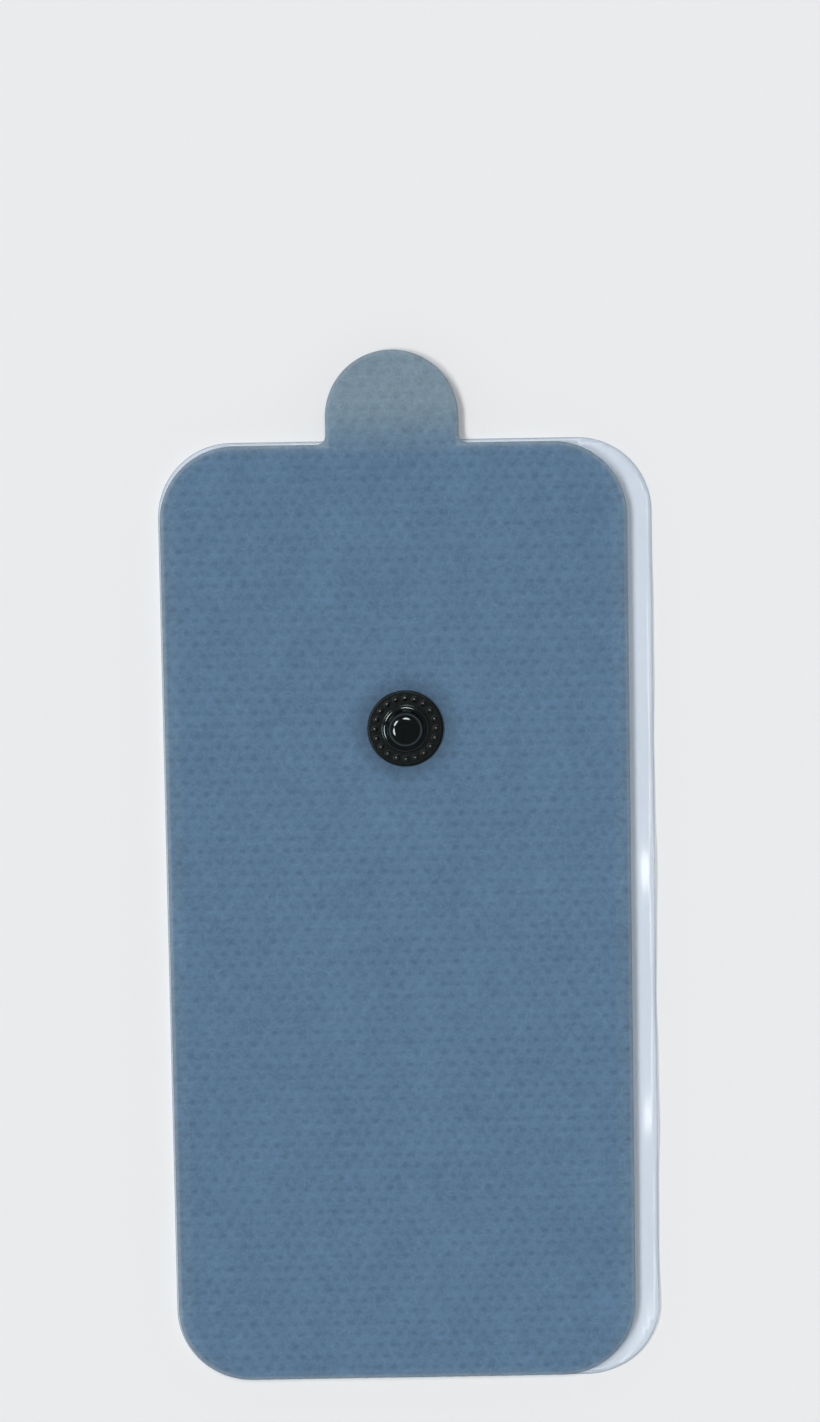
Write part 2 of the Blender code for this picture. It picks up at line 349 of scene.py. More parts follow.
@dataclass(frozen=True)
class PadPlan:
    """The pad in plan: the body, the tab, the round hole for the snap, and the film behind."""

    body: RoundedRectangle
    tab: RoundedRectangle
    fillet: float
    film: RoundedRectangle
    snap: Pair
    hole_radius: float

    @classmethod
    def from_frame(cls) -> "PadPlan":
        """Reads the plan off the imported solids' boxes.

        Returns:
            The plan, with the corner radii and the tab's width as on the real pad.
        """
        corner, film_corner, fillet, hole_radius = 8.0 * MM, 6.4 * MM, 1.0 * MM, 1.3 * MM
        tab_radius, tab_length = 7.1 * MM, 10.0 * MM
        cloth = RoundedRectangle.over("backing_cloth", corner)
        body_top = cloth.top - tab_length
        stud_low, stud_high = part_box("snap_stud")
        snap = (stud_low + stud_high) / 2
        return cls(
            replace(cloth, top=body_top),
            RoundedRectangle(-tab_radius, tab_radius, body_top - tab_length, cloth.top, tab_radius),
            fillet,
            RoundedRectangle.over("carbon_film", film_corner),
            (snap.x, snap.y),
            hole_radius,
        )

    def outer_distance(self, x: Array, y: Array) -> Array:
        """The distance to the fabric's cut edge, negative inside.

        The body and the tab are joined with a round fillet: the fillet radius less the
        length of the two shares by which each distance falls short of it.

        Args:
            x: Positions across.
            y: Positions along.

        Returns:
            One distance for each position.
        """
        body = self.body.distance(x, y)
        tab = self.tab.distance(x, y)
        short = apart(most(self.fillet - body, 0.0), most(self.fillet - tab, 0.0))
        return most(least(body, tab), self.fillet) - short

    def distance(self, x: Array, y: Array) -> Array:
        """The distance to the fabric's edge or to its hole, negative in the fabric."""
        return most(self.outer_distance(x, y), self.hole_radius - self.from_snap(x, y))

    def from_snap(self, x: Measure, y: Measure) -> Measure:
        """The distance to the snap's axis."""
        return apart(x - self.snap[0], y - self.snap[1])

    @property
    def cut_area(self) -> float:
        """The fabric's flat area.

        It is the body less its corners, plus the straight part of the tab, its half-round
        tip and the fillets, less the hole.

        Returns:
            The area in square metres.
        """
        width, length = self.body.right - self.body.left, self.body.top - self.body.bottom
        corners = (4.0 - math.pi) * self.body.radius**2
        straight = self.tab.top - self.body.top - self.tab.radius
        tab = 2.0 * self.tab.radius * straight + math.pi * self.tab.radius**2 / 2.0
        fillets = 2.0 * (1.0 - math.pi / 4.0) * self.fillet**2
        return width * length - corners + tab + fillets - math.pi * self.hole_radius**2


@dataclass(frozen=True)
class TrimmedSheet:
    """A closed sheet trimmed to an outline, its two faces given as height maps.

    A grid of equal cells covers the outline's box. Cells that reach more than half a cell
    past the outline are dropped, and the points on the border of the rest move onto it. Each
    ring of the edge stands out from it by a reach, at a share of the way down from the top.
    """

    distance: HeightMap
    box: RoundedRectangle
    cell: Pair
    top: HeightMap
    bottom: HeightMap
    edge: Sequence[Pair]
    settling_steps: int = 4

    def outward(self, x: Array, y: Array) -> tuple[Array, Array]:
        """Finds the direction away from the sheet: the slope of the distance, of length 1.

        Args:
            x: Positions across.
            y: Positions along.

        Returns:
            The direction at each position, as its x and its y.
        """
        slope_x = self.distance(x + HAIR, y) - self.distance(x - HAIR, y)
        slope_y = self.distance(x, y + HAIR) - self.distance(x, y - HAIR)
        length = most(apart(slope_x, slope_y), 1e-12)
        return slope_x / length, slope_y / length

    def onto_outline(self, x: Array, y: Array) -> tuple[Array, Array]:
        """Moves points onto the outline: each steps back along the slope by its distance.

        Args:
            x: Positions across.
            y: Positions along.

        Returns:
            The moved positions.
        """
        for _ in range(self.settling_steps):
            away = self.distance(x, y)
            slope_x, slope_y = self.outward(x, y)
            x, y = x - away * slope_x, y - away * slope_y
        return x, y

    def build(self, name: str) -> Mesh:
        """Makes the mesh: the two faces, and rings of points around the edge between them.

        The positions are a grid's, and the heights come from the two height maps.

        Args:
            name: The mesh's name.

        Returns:
            The closed mesh.
        """
        box, (width, length) = self.box, self.cell
        columns = np.arange(math.floor(box.left / width) - 1, math.ceil(box.right / width) + 2)
        rows = np.arange(math.floor(box.bottom / length) - 1, math.ceil(box.top / length) + 2)
        x, y = np.meshgrid(columns * width, rows * length)
        kept = np.all(corners_of(self.distance(x, y) < 0.5 * min(self.cell)), 0)
        cells = np.sum(corners_of(np.pad(kept, 1)), 0)
        used = cells > 0
        border = used & (cells < 4)
        x[border], y[border] = self.onto_outline(x[border], y[border])

        number = np.cumsum(used).reshape(used.shape) - 1
        count = int(used.sum())
        flat_x, flat_y = x[used], y[used]
        top, bottom = self.top(flat_x, flat_y), self.bottom(flat_x, flat_y)
        points = [np.stack([flat_x, flat_y, top], 1), np.stack([flat_x, flat_y, bottom], 1)]

        on_border = border[used]
        edge_x, edge_y = flat_x[on_border], flat_y[on_border]
        slope_x, slope_y = self.outward(edge_x, edge_y)
        for reach, share in self.edge:
            height = between(top[on_border], bottom[on_border], share)
            points.append(np.stack([edge_x + reach * slope_x, edge_y + reach * slope_y, height], 1))

        face = np.stack([corner[kept] for corner in corners_of(number)], 1)
        faces = [face, face[:, ::-1] + count]

        # A side lies on the border where no neighbour has it the other way round.
        first, second = face.T.ravel(), np.roll(face, -1, 1).T.ravel()
        alone = ~np.isin(first * count + second, second * count + first)
        first, second = first[alone], second[alone]
        ring_of = np.cumsum(on_border) - 1
        ring_size = int(on_border.sum())
        levels = [(first, second)]
        for ring in range(len(self.edge)):
            start = 2 * count + ring * ring_size
            levels.append((ring_of[first] + start, ring_of[second] + start))
        levels.append((first + count, second + count))
        for (upper_a, upper_b), (lower_a, lower_b) in zip(levels, levels[1:]):
            faces.append(np.stack([upper_b, upper_a, lower_a, lower_b], 1))
        return mesh_of(name, np.concatenate(points), np.concatenate(faces))


def corners_of(grid: npt.NDArray[Any]) -> list[npt.NDArray[Any]]:
    """The four corners of each cell: lower left, lower right, upper right, upper left."""
    return [grid[:-1, :-1], grid[:-1, 1:], grid[1:, 1:], grid[1:, :-1]]


def mesh_of(name: str, points: Array, faces: Numbers) -> Mesh:
    """Puts arrays of points and faces into a smooth mesh.

    Args:
        name: The mesh's name.
        points: One row of x, y and z for each point.
        faces: One row of point numbers for each face; a repeated last number marks a triangle.

    Returns:
        The mesh.
    """
    mesh = bpy.data.meshes.new(name)
    rows = [row[:3] if row[2] == row[3] else row for row in faces.tolist()]
    mesh.from_pydata(points.tolist(), [], rows)
    mesh.shade_smooth()
    mesh.validate()
    return mesh


def turned(name: str, radius: Array, height: Array, centre: Pair, lift: Array) -> Mesh:
    """Sweeps a half section around an upright axis.

    A point at angle a lies at the centre plus (radius cos a, radius sin a), at its
    height plus the lift there. The section starts and ends on the axis.

    Args:
        name: The mesh's name.
        radius: The section's radii, from the top down its outer side.
        height: The section's heights.
        centre: Where the axis stands.
        lift: What to add to the height, one row for each section point.

    Returns:
        The closed mesh.
    """
    steps = lift.shape[1]
    angle = np.linspace(0.0, math.tau, steps, endpoint=False)
    x = centre[0] + radius[1:-1, None] * np.cos(angle)
    y = centre[1] + radius[1:-1, None] * np.sin(angle)
    z = height[1:-1, None] + lift[1:-1]
    body = np.stack([x, y, z], 2).reshape(-1, 3)
    points = np.concatenate([body, [[*centre, height[0]], [*centre, height[-1]]]])

    ring_count = len(radius) - 2
    number = np.arange(ring_count * steps).reshape(ring_count, steps)
    after = np.roll(number, -1, 1)
    sides = np.stack([number[:-1], number[1:], after[1:], after[:-1]], 2).reshape(-1, 4)
    top, bottom = len(body), len(body) + 1
    cap = np.stack([np.full(steps, top), number[0], after[0], after[0]], 1)
    base = np.stack([np.full(steps, bottom), after[-1], number[-1], number[-1]], 1)
    return mesh_of(name, points, np.concatenate([sides, cap, base]))


@dataclass(frozen=True)
class BondLattice:
    """The staggered rows of small fused points that hold the fabric's fibres together."""

    pitch: float = 1.53 * MM
    row: float = 1.245 * MM
    half_width: float = 0.40 * MM
    half_length: float = 0.29 * MM
    weakest: float = 0.55
    repeat: tuple[int, int] = (64, 128)
    seed: int = 11
    fringe: float = 0.25 * MM
    fringe_depth: float = 1.3
    mask_edge: Pair = (1.55, 0.10)
    mask_weakest: float = 0.38

    def nearness(self, x: Array, y: Array) -> Array:
        """How close each position is to a fused point: a bell curve around the nearest one.

        Each point has its own strength, drawn at random, so that neighbours differ.

        Args:
            x: Positions across.
            y: Positions along.

        Returns:
            1 in the middle of a strong fused point, falling to 0 between them.
        """
        columns, rows = self.repeat
        strengths = np.random.default_rng(self.seed).uniform(self.weakest, 1.0, self.repeat)
        near = np.zeros_like(x)
        nearest_row = np.round(y / self.row)
        for row in (nearest_row - 1, nearest_row, nearest_row + 1):
            shift = 0.5 * np.mod(row, 2)
            column = np.round(x / self.pitch - shift)
            across = (x - (column + shift) * self.pitch) / self.half_width
            along = (y - row * self.row) / self.half_length
            strength = strengths[column.astype(int) % columns, row.astype(int) % rows]
            near = np.maximum(near, strength * np.exp(-(across**2) - along**2))
        return near

    def shader_mask(self, nodes: Nodes, x: Value, y: Value) -> Value:
        """The fused points as shader nodes, with uneven edges and strengths.

        Args:
            nodes: The material's nodes.
            x: The position across.
            y: The position along.

        Returns:
            Up to 1 on a fused point and 0 between them.
        """
        row = round(y / self.row)
        shift = (row % 2.0) * 0.5
        column = round(x / self.pitch - shift)
        across = (x - (column + shift) * self.pitch) / self.half_width
        along = (y - row * self.row) / self.half_length
        uneven = nodes.noise((x, y, 0.0), (self.fringe, self.fringe, 1.0)) - 0.5
        reach = apart(across, along) + uneven * self.fringe_depth
        place = nodes.vector(column, row, 0.5)
        chance = nodes.add("ShaderNodeTexWhiteNoise", {"noise_dimensions": "3D"}, {0: place})
        return reach.ease(*self.mask_edge) * between(self.mask_weakest, 1.0, chance)


@dataclass(frozen=True)
class Mottle:
    """Light and dark spots of one size in the fabric, and how strongly they shade it."""

    size: Pair
    layer: float
    depth: float
    roughness: float = 0.5

    def spots(self, nodes: Nodes, x: Value, y: Value) -> Value:
        """The spots: positive on a light one and negative on a dark one."""
        return nodes.noise((x, y, self.layer), (*self.size, 1.0), roughness=self.roughness) - 0.5


@dataclass(frozen=True)
class FabricFinish:
    """Steel-blue spunbond: matt fibres, fused points, deeper where the black film lies behind.

    Each fade is the pair of places at which it starts and is done.
    """

    plan: PadPlan
    lattice: BondLattice
    over_film: Colour = display(88, 118, 146)
    bare: Colour = display(119, 140, 154)
    fused: Colour = display(55, 84, 112)
    # The light band along the cut edge: partly its loose fibres, partly a painted highlight.
    cut_edge_and_highlight: Colour = display(132, 149, 160)
    clouds: Mottle = Mottle((4.5 * MM, 6.5 * MM), 1.0, 0.26)
    patches: Mottle = Mottle((1.5 * MM, 1.3 * MM), 2.0, 0.26, 0.6)
    tufts: Mottle = Mottle((0.42 * MM, 0.36 * MM), 3.0, 0.36, 0.6)
    fibre_length: float = 3.4 * MM
    fibre_width: float = 0.20 * MM
    fibre_angles: tuple[float, ...] = (8.0, 41.0, 83.0, 118.0, 155.0)
    fibre_layer: float = 3.7
    fibre_ridge: float = 0.07
    fibre_depth: float = 0.15
    film_fade: Pair = (0.45 * MM, -0.45 * MM)
    tab_fade: Pair = (-2.0 * MM, 5.5 * MM)
    rim_highlight_fade: Pair = (-0.52 * MM, -0.14 * MM)
    # Around the snap: painted contact shadow of the stud, together with the fabric pressed there.
    snap_shadow_fade: Pair = (6.6 * MM, 4.0 * MM)
    snap_shade: float = 0.70
    level: float = 0.95
    off_film_share: float = 0.16
    fused_share: float = 0.38
    fused_share_on_tab: float = 0.18
    fused_loss: float = 0.7
    rim_highlight_share: float = 0.62
    relief: float = 0.06 * MM
    roughness: float = 0.84
    fused_roughness: float = 0.68

    def fibres(self, nodes: Nodes, x: Value, y: Value) -> Value:
        """Fine fibres in several directions: noise drawn out along each, its ridges kept.

        Args:
            nodes: The material's nodes.
            x: The position across.
            y: The position along.

        Returns:
            1 on the crest of a fibre, falling to 0 beside it.
        """
        crest: Value | None = None
        size = (self.fibre_length, self.fibre_width, 1.0)
        for index, degrees in enumerate(self.fibre_angles):
            cosine, sine = math.cos(math.radians(degrees)), math.sin(math.radians(degrees))
            place = (x * cosine + y * sine, y * cosine - x * sine, self.fibre_layer * index)
            ridge = abs(nodes.noise(place, size, 1.0) - 0.5).ease(self.fibre_ridge, 0.0)
            crest = ridge if crest is None else crest.most(ridge)
        return crest

    def shade(self, nodes: Nodes, x: Value, y: Value, fine: Value) -> Value:
        """How light the fabric is: mottled, and darker around the snap, partly pressed and rubbed
        fabric and partly painted contact shadow of the stud.

        Args:
            nodes: The material's nodes.
            x: The position across.
            y: The position along.
            fine: The shade of the tufts and the fibres.

        Returns:
            The share of its colour that each place keeps.
        """
        clouds = self.clouds.spots(nodes, x, y) * self.clouds.depth
        patches = self.patches.spots(nodes, x, y) * self.patches.depth
        # Painted contact shadow of the stud, together with the fabric pressed around it.
        pressed = self.plan.from_snap(x, y).ease(*self.snap_shadow_fade)
        return (self.level + clouds + patches + fine) * between(1.0, self.snap_shade, pressed)

    def material(self) -> Material:
        """Builds the fabric's material.

        Returns:
            The material.
        """
        nodes = material_nodes("blue_nonwoven")
        x, y, _ = nodes.place()
        edge = least(self.plan.body.distance(x, y), self.plan.tab.distance(x, y))
        # A light band along the cut edge: partly the cut's loose fibres, partly a painted highlight.
        rim = edge.ease(*self.rim_highlight_fade)
        behind = self.plan.film.distance(x, y).ease(*self.film_fade)
        # The tab is lighter because no film lies behind it; the long fade into it, which starts over
        # the film, is a painted reflection.
        on_tab = (y - self.plan.body.top).ease(*self.tab_fade)
        fused = self.lattice.shader_mask(nodes, x, y)
        fibres = self.fibres(nodes, x, y)
        tufts = self.tufts.spots(nodes, x, y)
        loose = 1.0 - self.fused_loss * fused
        fine = (tufts * self.tufts.depth + fibres * self.fibre_depth) * loose
        shade = self.shade(nodes, x, y, fine)

        bare_share = (1.0 - behind) * self.off_film_share + on_tab * (1.0 - self.off_film_share)
        fused_share = between(self.fused_share, self.fused_share_on_tab, on_tab)
        colour = nodes.mix(bare_share.least(1.0), self.over_film, self.bare)
        colour = nodes.mix(fused * fused_share, colour, self.fused)
        colour = nodes.mix(rim * self.rim_highlight_share, colour, self.cut_edge_and_highlight)
        colour = nodes.shaded(colour, shade)

        relief = fibres * (1.0 - fused) * 0.6 + (tufts + 0.5) * 0.7
        surface = nodes.principled(
            Base_Color=colour,
            Roughness=between(self.roughness, self.fused_roughness, fused),
            Normal=nodes.bump(relief, self.relief, 0.6),
            Sheen_Weight=0.10,
            Sheen_Roughness=0.45,
            Specular_IOR_Level=0.35,
        )
        return nodes.finish(surface)


@dataclass(frozen=True)
class ClearFinish:
    """A clear layer: mostly see-through, a little milky, with a gloss that grows toward grazing.

    The tint is what is left of white light after it has gone down through the layer and
    come back up, which takes it through four surfaces. The cut edge is milkier.
    """

    name: str
    outline: RoundedRectangle
    tint: Colour
    skin: Colour
    roughness: float
    cloudiness: float
    edge_cloudiness: float
    mirror: float
    ripple: float
    wave_size: Triple = (7.0 * MM, 11.0 * MM, 5.0 * MM)
    haze_size: Triple = (1.6 * MM, 1.9 * MM, 1.6 * MM)
    haze_range: Pair = (0.6, 1.4)
    haze_shade: float = 0.86
    haze_roughness: float = 0.08
    edge_width: float = 0.10 * MM
    refraction: float = 1.45

    def material(self) -> Material:
        """Builds the clear layer's material.

        Returns:
            The material.
        """
        nodes = material_nodes(self.name)
        place = nodes.place()
        waves = nodes.noise(place, self.wave_size)
        haze = nodes.noise(place, self.haze_size, 3.0)
        normal = nodes.bump(waves, self.ripple, 0.6)
        through = tuple(channel**0.25 for channel in self.tint)
        clear = nodes.add("ShaderNodeBsdfTransparent", None, {"Color": through})
        shaded = tuple(self.haze_shade * channel for channel in self.skin)
        milk = nodes.principled(Base_Color=nodes.mix(haze, self.skin, shaded), Roughness=0.5)
        gloss = nodes.principled(
            Base_Color=(1.0, 1.0, 1.0),
            Metallic=1.0,
            Roughness=self.roughness + haze * self.haze_roughness,
            Normal=normal,
        )
        cut = self.outline.distance(*place[:2]).ease(-self.edge_width, 0.0)
        milky = between(self.cloudiness, self.edge_cloudiness, cut)
        milky = (milky * between(*self.haze_range, haze)).least(1.0)
        body = nodes.add("ShaderNodeMixShader", None, {0: milky, 1: clear, 2: milk})
        grazing = nodes.add("ShaderNodeFresnel", None, {"IOR": self.refraction, "Normal": normal})
        layers = {0: grazing * self.mirror, 1: body, 2: gloss}
        return nodes.finish(nodes.add("ShaderNodeMixShader", None, layers))


@dataclass(frozen=True)
class FilmFinish:
    """A thin opaque film with a faint coating grain."""

    name: str
    colour: Colour
    streak: Colour
    roughness: float
    grain: float
    grain_depth: float = 0.01 * MM
    grain_roughness: float = 0.2
    streak_size: Triple = (0.5 * MM, 9.0 * MM, 3.0 * MM)
    streak_fade: Pair = (0.35, 0.75)

    def material(self) -> Material:
        """Builds the film's material.

        Returns:
            The material.
        """
        nodes = material_nodes(self.name)
        place = nodes.place()
        streaks = nodes.noise(place, self.streak_size, 3.0, 0.6)
        grain = nodes.noise(place, (self.grain,) * 3, 2.0, 0.6)
        surface = nodes.principled(
            Base_Color=nodes.mix(streaks.ease(*self.streak_fade), self.colour, self.streak),
            Roughness=self.roughness + (grain - 0.5) * self.grain_roughness,
            Normal=nodes.bump(grain, self.grain_depth, 0.4),
        )
        return nodes.finish(surface)


@dataclass(frozen=True)
class BossRing:
    """A ring of small round domes, evenly spaced around the snap's axis."""

    ring_radius: float
    boss_radius: float
    count: int

    def away(self, radius: Measure, angle: Measure) -> Measure:
        """The distance to the nearest boss, in boss radii.

        Args:
            radius: Distances from the axis, as nodes or as an array.
            angle: Angles around it, likewise.

        Returns:
            0 in the middle of a boss and 1 at its foot.
        """
        turn = math.tau / self.count
        aside = ((angle + turn / 2) % turn - turn / 2) * radius
        return apart(aside, radius - self.ring_radius) / self.boss_radius


@dataclass(frozen=True)
class PlatedFinish:
    """Black nickel plate: a dark mirror, or satin on the flange, with rubbed bosses there."""

    name: str
    centre: Pair
    colour: Colour
    worn: Colour
    roughness: float
    satin_from: float | None = None
    satin_fade: float = 0.15 * MM
    satin_roughness: float = 0.33
    satin_share: float = 0.38
    bosses: BossRing | None = None
    rubbed: Colour = display(86, 88, 86)
    rubbed_fade: Pair = (0.95, 0.20)
    tool_mark: float = 0.06 * MM
    tool_depth: float = 0.002 * MM
    speck: float = 0.4 * MM
    speck_fade: Pair = (0.45, 0.75)
    speck_roughness: float = 0.08

    def material(self) -> Material:
        """Builds the plate's material.

        Returns:
            The material.
        """
        nodes = material_nodes(self.name)
        x, y, z = nodes.place()
        from_x, from_y = x - self.centre[0], y - self.centre[1]
        radius = apart(from_x, from_y)
        turning = nodes.noise((radius, z, 0.0), (self.tool_mark, self.tool_mark, 1.0))
        speckle = nodes.noise((x, y, z), (self.speck,) * 3, 3.0, 0.6)
        colour = nodes.mix(speckle.ease(*self.speck_fade), self.colour, self.worn)
        roughness = self.roughness + (speckle - 0.5) * self.speck_roughness
        if self.satin_from is not None:
            satin = radius.ease(self.satin_from, self.satin_from + self.satin_fade)
            colour = nodes.shaded(colour, between(1.0, self.satin_share, satin))
            roughness = roughness + (self.satin_roughness - self.roughness) * satin
        if self.bosses is not None:
            away = self.bosses.away(radius, from_y.angle_from(from_x))
            top = away.ease(*self.rubbed_fade)
            colour = nodes.mix(top * (0.4 + 0.9 * speckle).least(1.0), colour, self.rubbed)
        surface = nodes.principled(
            Base_Color=colour,
            Metallic=1.0,
            Roughness=roughness,
            Normal=nodes.bump(turning * 0.5 + speckle * 0.5, self.tool_depth, 0.25),
        )
        return nodes.finish(surface)


class PadPiece:
    """What every shown piece has in common: a mesh, a finish, and its place in the frame."""

    def show(self, mesh: Mesh, material: Material, slot: str, node: str) -> Object:
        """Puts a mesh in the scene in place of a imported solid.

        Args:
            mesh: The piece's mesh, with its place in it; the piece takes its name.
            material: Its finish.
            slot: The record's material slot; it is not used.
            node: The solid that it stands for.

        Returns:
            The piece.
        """
        mesh.materials.append(material)
        piece = bpy.data.objects.new(mesh.name, mesh)
        bpy.context.scene.collection.objects.link(piece)
        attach(piece, BODY)
        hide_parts(node)
        LOG.info("%s: %d faces", piece.name, len(mesh.polygons))
        return piece

    def dress(self, node: str, material: Material) -> None:
        """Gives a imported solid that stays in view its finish.

        Args:
            node: The solid's name.
            material: Its finish.
        """
        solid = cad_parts[node]
        solid.data.materials.clear()
        solid.data.materials.append(material)
        LOG.info("%s: dressed", node)


@dataclass
class FabricBacking(PadPiece):
    """The blue fabric: pillows between its fused points, pressed down at its edge and snap."""

    plan: PadPlan
    lattice: BondLattice
    cells_per_pitch: int = 4
    pillow: float = 0.035 * MM
    pit: float = 0.125 * MM
    dimple: float = 0.05 * MM
    dimple_fade: Pair = (0.1 * MM, 0.5 * MM)
    edge_press: float = 0.07 * MM
    edge_reach: float = 0.28 * MM
    edge_rings: tuple[Pair, ...] = ((0.02 * MM, 0.22), (0.03 * MM, 0.5), (0.02 * MM, 0.8))
    tab_droop: float = 0.35 * MM
    sway: float = 0.030 * MM
    flange_radius: float = 4.1 * MM
    flange_reach: float = 1.6 * MM
    flange_fade: Pair = (-0.3 * MM, 0.5 * MM)
    held_share: float = 0.25

    def droop(self, y: Array) -> Array:
        """How far the tab hangs: it grows with the square of the way out along it."""
        start = self.plan.body.top
        return self.tab_droop * np.clip((y - start) / (self.plan.tab.top - start), 0.0, 1.0) ** 2

    def swell(self, x: Array, y: Array) -> Array:
        """Slow waves: a product of two sines plus two slanting sines, gone at the snap."""
        waves = (
            np.sin(x / (6.1 * MM) + 0.7) * np.sin(y / (8.3 * MM) + 0.2)
            + 0.6 * np.sin(x / (3.9 * MM) - y / (11.7 * MM) + 1.9)
            + 0.4 * np.sin(y / (4.3 * MM) + x / (9.7 * MM))
        )
        return self.sway * waves * self.free(x, y)

    def free(self, x: Array, y: Array) -> Array:
        """0 under the stud's flange, rising to 1 a little way outside it."""
        rim, away = self.flange_radius, self.plan.from_snap(x, y)
        return ease(rim, rim + self.flange_reach, away)

    def top(self, x: Array, y: Array) -> Array:
        """The upper face.

        The solid's own height, plus a pillow, less a pit at each fused point, less the
        press at the cut edge, which dies away exponentially, less the tab's droop.

        Args:
            x: Positions across.
            y: Positions along.

        Returns:
            One height for each position.
        """
        near = self.lattice.nearness(x, y)
        relief = self.pillow - (self.pillow + self.pit) * near
        relief *= between(self.held_share, 1.0, self.free(x, y))
        relief *= ease(*self.flange_fade, self.plan.from_snap(x, y) - self.flange_radius)
        inside = most(-self.plan.outer_distance(x, y), 0.0)
        press = self.edge_press * np.exp(-inside / self.edge_reach)
        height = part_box("backing_cloth")[1].z
        return height + relief - press + self.swell(x, y) - self.droop(y)

    def bottom(self, x: Array, y: Array) -> Array:
        """The lower face: flat over the film, dimpled at the fused points beyond it.

        Args:
            x: Positions across.
            y: Positions along.

        Returns:
            One height for each position.
        """
        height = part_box("backing_cloth")[0].z
        beyond = ease(*self.dimple_fade, self.plan.film.distance(x, y))
        return height + self.dimple * self.lattice.nearness(x, y) * beyond - self.droop(y)

    def build(self) -> Object:
        """Returns:
            The piece.
        """
        box = RoundedRectangle.over("backing_cloth", 0.0)
        cell = (self.lattice.pitch / self.cells_per_pitch, self.lattice.row / self.cells_per_pitch)
        sheet = TrimmedSheet(self.plan.distance, box, cell, self.top, self.bottom, self.edge_rings)
        finish = FabricFinish(self.plan, self.lattice)
        mesh = sheet.build("fabric_backing")
        piece = self.show(mesh, finish.material(), "blue_nonwoven", "backing_cloth")
        return piece


@dataclass
class GelLayer(PadPiece):
    """The clear gel: a soft slab with a bulging edge and a pocket for the covered eyelet."""

    plan: PadPlan
    cell: Pair = (0.55 * MM, 0.55 * MM)
    inset: float = 0.2 * MM
    bulge: float = 0.12 * MM
    bulge_angles: tuple[float, ...] = (25.0, 50.0, 75.0, 90.0, 105.0, 130.0, 155.0)
    clearance: float = 0.05 * MM
    rise_fade: Pair = (0.10 * MM, 0.45 * MM)
    brim_depth: float = 0.15 * MM
    brim_fade: Pair = (0.45 * MM, 0.10 * MM)
    dish_fade: Pair = (-0.25 * MM, -0.75 * MM)

    def top(self, x: Array, y: Array) -> Array:
        """The upper face.

        It rises to the fabric beyond the film, and dips in two eased steps under the covered
        eyelet: a brim around the cover, and a dish inside it.

        Args:
            x: Positions across.
            y: Positions along.

        Returns:
            One height for each position.
        """
        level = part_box("hydrogel")[1].z
        cover_low, cover_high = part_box("eyelet_cover")
        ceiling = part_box("backing_cloth")[0].z - self.clearance
        rise = (ceiling - level) * ease(*self.rise_fade, self.plan.film.distance(x, y))
        beyond_cover = self.plan.from_snap(x, y) - (cover_high.x - cover_low.x) / 2
        dish_depth = level - cover_low.z + self.clearance - self.brim_depth
        brim = self.brim_depth * ease(*self.brim_fade, beyond_cover)
        return level + rise - brim - dish_depth * ease(*self.dish_fade, beyond_cover)

    def bottom(self, x: Array, y: Array) -> Array:
        """The lower face, flat on the liner."""
        return np.full_like(x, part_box("hydrogel")[0].z)

    def build(self) -> Object:
        """Makes the gel.

        Returns:
            The piece.
        """
        angles = np.radians(self.bulge_angles)
        rings = tuple((self.bulge * math.sin(a), (1.0 - math.cos(a)) / 2.0) for a in angles)
        outline = self.plan.body.drawn_in(self.inset)
        sheet = TrimmedSheet(outline.distance, outline, self.cell, self.top, self.bottom, rings)
        finish = ClearFinish(
            "clear_gel",
            outline,
            tint=display(236, 243, 245),
            skin=display(224, 233, 237),
            roughness=0.10,
            cloudiness=0.02,
            edge_cloudiness=0.85,
            mirror=0.8,
            ripple=0.02 * MM,
        )
        return self.show(sheet.build("gel_layer"), finish.material(), "clear_gel", "hydrogel")


